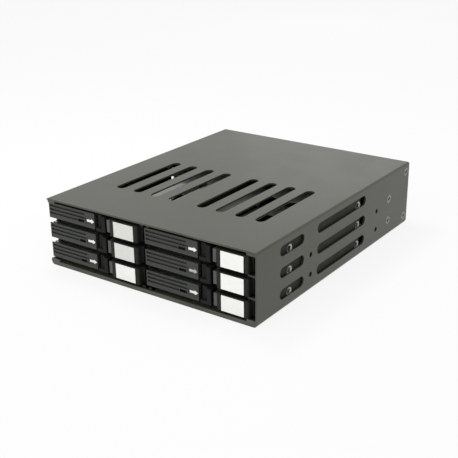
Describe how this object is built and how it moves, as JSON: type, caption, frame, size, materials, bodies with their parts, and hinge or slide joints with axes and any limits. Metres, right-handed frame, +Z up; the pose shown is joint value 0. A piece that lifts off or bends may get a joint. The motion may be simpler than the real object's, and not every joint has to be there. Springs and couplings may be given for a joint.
{
  "type": "drive enclosure",
  "caption": "Black steel hot-swap enclosure for 2.5-inch drives in a half-height bay, with latched lever trays, vent slots and rear fans.",
  "frame": {"origin": "on the surface that it stands on, under the middle of its bounding box", "axes": "+Z up, -Y the way the trays come out, +X to the right as seen from the front"},
  "size_m": [0.146, 0.1796, 0.0415],
  "materials": {
    "powder_coat": "satin black powder coat on folded steel",
    "bare_steel": "bare zinc-plated steel",
    "black_plastic": "fine-textured moulded ABS",
    "grey_plastic": "fine-textured moulded ABS",
    "guide_plastic": "plain moulded acetal",
    "label_card": "smooth white card",
    "light_pipe": "smoked clear acrylic",
    "divider_aluminium": "black anodised extrusion",
    "circuit_board": "green solder mask",
    "connector_plastic": "moulded glass-filled nylon",
    "plated_brass": "nickel-plated brass",
    "screw_steel": "black zinc-plated steel",
    "fan_plastic": "moulded glass-filled polyester"
  },
  "bodies": {
    "chassis": {"outer_shell": "powder_coat", "base_plate": "powder_coat", "centre_divider": "divider_aluminium", "side_guides": "guide_plastic", "backplane_board": "circuit_board", "drive_receptacles": "connector_plastic", "data_sockets": "connector_plastic", "power_sockets": "connector_plastic", "fan_headers": "connector_plastic", "board_standoffs": "plated_brass", "board_screws": "bare_steel", "backplane_bracket": "bare_steel", "rear_panel": "powder_coat", "case_screws": "screw_steel", "fan_frames": "fan_plastic", "fan_screws": "screw_steel"},
    "rotor_left": {"fan_rotor_left": "fan_plastic"},
    "rotor_right": {"fan_rotor_right": "fan_plastic"},
    "tray_left_bottom": {"tray_left_bottom": "bare_steel", "tray_front_left_bottom": "black_plastic", "light_pipe_left_bottom": "light_pipe", "label_left_bottom": "label_card", "lever_pin_left_bottom": "bare_steel"},
    "lever_left_bottom": {"lever_left_bottom": "black_plastic"},
    "latch_left_bottom": {"latch_left_bottom": "grey_plastic"},
    "tray_left_middle": {"tray_left_middle": "bare_steel", "tray_front_left_middle": "black_plastic", "light_pipe_left_middle": "light_pipe", "label_left_middle": "label_card", "lever_pin_left_middle": "bare_steel"},
    "lever_left_middle": {"lever_left_middle": "black_plastic"},
    "latch_left_middle": {"latch_left_middle": "grey_plastic"},
    "tray_left_top": {"tray_left_top": "bare_steel", "tray_front_left_top": "black_plastic", "light_pipe_left_top": "light_pipe", "label_left_top": "label_card", "lever_pin_left_top": "bare_steel"},
    "lever_left_top": {"lever_left_top": "black_plastic"},
    "latch_left_top": {"latch_left_top": "grey_plastic"},
    "tray_right_bottom": {"tray_right_bottom": "bare_steel", "tray_front_right_bottom": "black_plastic", "light_pipe_right_bottom": "light_pipe", "label_right_bottom": "label_card", "lever_pin_right_bottom": "bare_steel"},
    "lever_right_bottom": {"lever_right_bottom": "black_plastic"},
    "latch_right_bottom": {"latch_right_bottom": "grey_plastic"},
    "tray_right_middle": {"tray_right_middle": "bare_steel", "tray_front_right_middle": "black_plastic", "light_pipe_right_middle": "light_pipe", "label_right_middle": "label_card", "lever_pin_right_middle": "bare_steel"},
    "lever_right_middle": {"lever_right_middle": "black_plastic"},
    "latch_right_middle": {"latch_right_middle": "grey_plastic"},
    "tray_right_top": {"tray_right_top": "bare_steel", "tray_front_right_top": "black_plastic", "light_pipe_right_top": "light_pipe", "label_right_top": "label_card", "lever_pin_right_top": "bare_steel"},
    "lever_right_top": {"lever_right_top": "black_plastic"},
    "latch_right_top": {"latch_right_top": "grey_plastic"}
  },
  "joints": [
    {"name": "rotor_left_spin", "type": "hinge", "parent": "chassis", "child": "rotor_left", "pos_m": [-0.0505, 0.0812, 0.02075], "axis": [0, 1, 0], "continuous": true},
    {"name": "rotor_right_spin", "type": "hinge", "parent": "chassis", "child": "rotor_right", "pos_m": [0.0505, 0.0812, 0.02075], "axis": [0, 1, 0], "continuous": true},
    {"name": "tray_left_bottom_slide", "type": "slide", "parent": "chassis", "child": "tray_left_bottom", "axis": [0, -1, 0], "range_m": [0, 0.12]},
    {"name": "lever_left_bottom_hinge", "type": "hinge", "parent": "tray_left_bottom", "child": "lever_left_bottom", "pos_m": [-0.0705, -0.0852, 0.0091], "axis": [0, 0, -1], "range_deg": [0, 85]},
    {"name": "latch_left_bottom_slide", "type": "slide", "parent": "tray_left_bottom", "child": "latch_left_bottom", "axis": [1, 0, 0], "range_m": [0, 0.002], "stiffness_N_per_m": 250, "springref_m": -0.002},
    {"name": "tray_left_middle_slide", "type": "slide", "parent": "chassis", "child": "tray_left_middle", "axis": [0, -1, 0], "range_m": [0, 0.12]},
    {"name": "lever_left_middle_hinge", "type": "hinge", "parent": "tray_left_middle", "child": "lever_left_middle", "pos_m": [-0.0705, -0.0852, 0.0215], "axis": [0, 0, -1], "range_deg": [0, 85]},
    {"name": "latch_left_middle_slide", "type": "slide", "parent": "tray_left_middle", "child": "latch_left_middle", "axis": [1, 0, 0], "range_m": [0, 0.002], "stiffness_N_per_m": 250, "springref_m": -0.002},
    {"name": "tray_left_top_slide", "type": "slide", "parent": "chassis", "child": "tray_left_top", "axis": [0, -1, 0], "range_m": [0, 0.12]},
    {"name": "lever_left_top_hinge", "type": "hinge", "parent": "tray_left_top", "child": "lever_left_top", "pos_m": [-0.0705, -0.0852, 0.0339], "axis": [0, 0, -1], "range_deg": [0, 85]},
    {"name": "latch_left_top_slide", "type": "slide", "parent": "tray_left_top", "child": "latch_left_top", "axis": [1, 0, 0], "range_m": [0, 0.002], "stiffness_N_per_m": 250, "springref_m": -0.002},
    {"name": "tray_right_bottom_slide", "type": "slide", "parent": "chassis", "child": "tray_right_bottom", "axis": [0, -1, 0], "range_m": [0, 0.12]},
    {"name": "lever_right_bottom_hinge", "type": "hinge", "parent": "tray_right_bottom", "child": "lever_right_bottom", "pos_m": [0.0018, -0.0852, 0.0091], "axis": [0, 0, -1], "range_deg": [0, 85]},
    {"name": "latch_right_bottom_slide", "type": "slide", "parent": "tray_right_bottom", "child": "latch_right_bottom", "axis": [1, 0, 0], "range_m": [0, 0.002], "stiffness_N_per_m": 250, "springref_m": -0.002},
    {"name": "tray_right_middle_slide", "type": "slide", "parent": "chassis", "child": "tray_right_middle", "axis": [0, -1, 0], "range_m": [0, 0.12]},
    {"name": "lever_right_middle_hinge", "type": "hinge", "parent": "tray_right_middle", "child": "lever_right_middle", "pos_m": [0.0018, -0.0852, 0.0215], "axis": [0, 0, -1], "range_deg": [0, 85]},
    {"name": "latch_right_middle_slide", "type": "slide", "parent": "tray_right_middle", "child": "latch_right_middle", "axis": [1, 0, 0], "range_m": [0, 0.002], "stiffness_N_per_m": 250, "springref_m": -0.002},
    {"name": "tray_right_top_slide", "type": "slide", "parent": "chassis", "child": "tray_right_top", "axis": [0, -1, 0], "range_m": [0, 0.12]},
    {"name": "lever_right_top_hinge", "type": "hinge", "parent": "tray_right_top", "child": "lever_right_top", "pos_m": [0.0018, -0.0852, 0.0339], "axis": [0, 0, -1], "range_deg": [0, 85]},
    {"name": "latch_right_top_slide", "type": "slide", "parent": "tray_right_top", "child": "latch_right_top", "axis": [1, 0, 0], "range_m": [0, 0.002], "stiffness_N_per_m": 250, "springref_m": -0.002}
  ]
}
